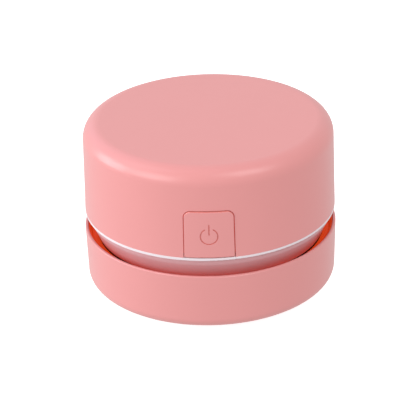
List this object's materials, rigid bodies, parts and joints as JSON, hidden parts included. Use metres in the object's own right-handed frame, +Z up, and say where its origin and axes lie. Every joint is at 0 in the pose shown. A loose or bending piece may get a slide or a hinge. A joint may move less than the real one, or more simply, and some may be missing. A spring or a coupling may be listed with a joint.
{
  "type": "desktop mini vacuum cleaner",
  "caption": "Round battery desk vacuum: a dust bin on a bristle ring, a lift-out filter cup, and a push-on motor head with a pressed power button, a fan and a white trim ring.",
  "frame": {"origin": "middle of the footprint, on the surface that the bristle tips rest on", "axes": "+Z up along the round body's axis, -Y towards the power button, +X to the right when the button is faced"},
  "size_m": [0.0856, 0.0856, 0.06],
  "materials": {
    "shell_pink": "satin moulded plastic",
    "trim_white": "smooth white plastic",
    "bristle": "dense nylon filaments",
    "filter_orange": "fine satin plastic",
    "mesh_grey": "woven mesh",
    "gasket_grey": "soft silicone",
    "guard_black": "fine matt texture",
    "fan_white": "smooth moulding",
    "zinc_steel": "zinc plated",
    "shaft_steel": "ground and polished",
    "can_steel": "drawn and plated",
    "bronze": "sintered",
    "tag_brass": "tinned",
    "ferrite": "sintered, dull",
    "core_steel": "stacked sheets",
    "cap_plastic": "natural nylon",
    "cell_sleeve": "shrunk sleeve",
    "cradle_white": "smooth moulding",
    "nickel": "nickel strip",
    "board_green": "solder mask",
    "chip_black": "moulded epoxy",
    "switch_black": "moulded",
    "plunger_white": "moulded",
    "light_clear": "clear moulding",
    "lead_red": "soft insulation",
    "lead_black": "soft insulation"
  },
  "bodies": {
    "bin": {"dust_bin": "shell_pink", "base_plate": "shell_pink", "brush_strips": "bristle", "base_screws": "zinc_steel"},
    "filter": {"filter_frame": "filter_orange", "filter_gasket": "gasket_grey", "filter_mesh": "mesh_grey"},
    "head": {"fan_guard": "guard_black", "guard_screws": "zinc_steel", "motor_tray": "shell_pink", "trim_ring": "trim_white", "top_cover": "shell_pink", "cover_screws": "zinc_steel", "power_switch": "switch_black", "motor_can": "can_steel", "motor_bush": "bronze", "motor_end_cap": "cap_plastic", "motor_terminals": "tag_brass", "motor_magnets": "ferrite", "motor_screws": "zinc_steel", "battery_cell": "cell_sleeve", "battery_cradle": "cradle_white", "battery_contacts": "nickel", "circuit_board": "board_green", "board_screws": "zinc_steel", "board_chips": "chip_black", "usb_socket": "can_steel", "charge_light": "light_clear", "lead_plugs": "cradle_white", "motor_leads": "lead_red", "cell_leads": "lead_black"},
    "fan": {"impeller": "fan_white", "motor_shaft": "shaft_steel", "motor_rotor": "core_steel"},
    "button": {"power_button": "shell_pink", "switch_plunger": "plunger_white"}
  },
  "joints": [
    {"name": "filter_lift", "type": "slide", "parent": "bin", "child": "filter", "axis": [0, 0, 1], "range_m": [0, 0.045]},
    {"name": "head_lift", "type": "slide", "parent": "filter", "child": "head", "axis": [0, 0, 1], "range_m": [0, 0.06]},
    {"name": "fan_spin", "type": "hinge", "parent": "head", "child": "fan", "pos_m": [0, 0, 0.022], "axis": [0, 0, 1], "continuous": true},
    {"name": "button_press", "type": "slide", "parent": "head", "child": "button", "axis": [0, 1, 0], "range_m": [0, 0.001], "stiffness_N_per_m": 300, "springref_m": -0.002}
  ]
}
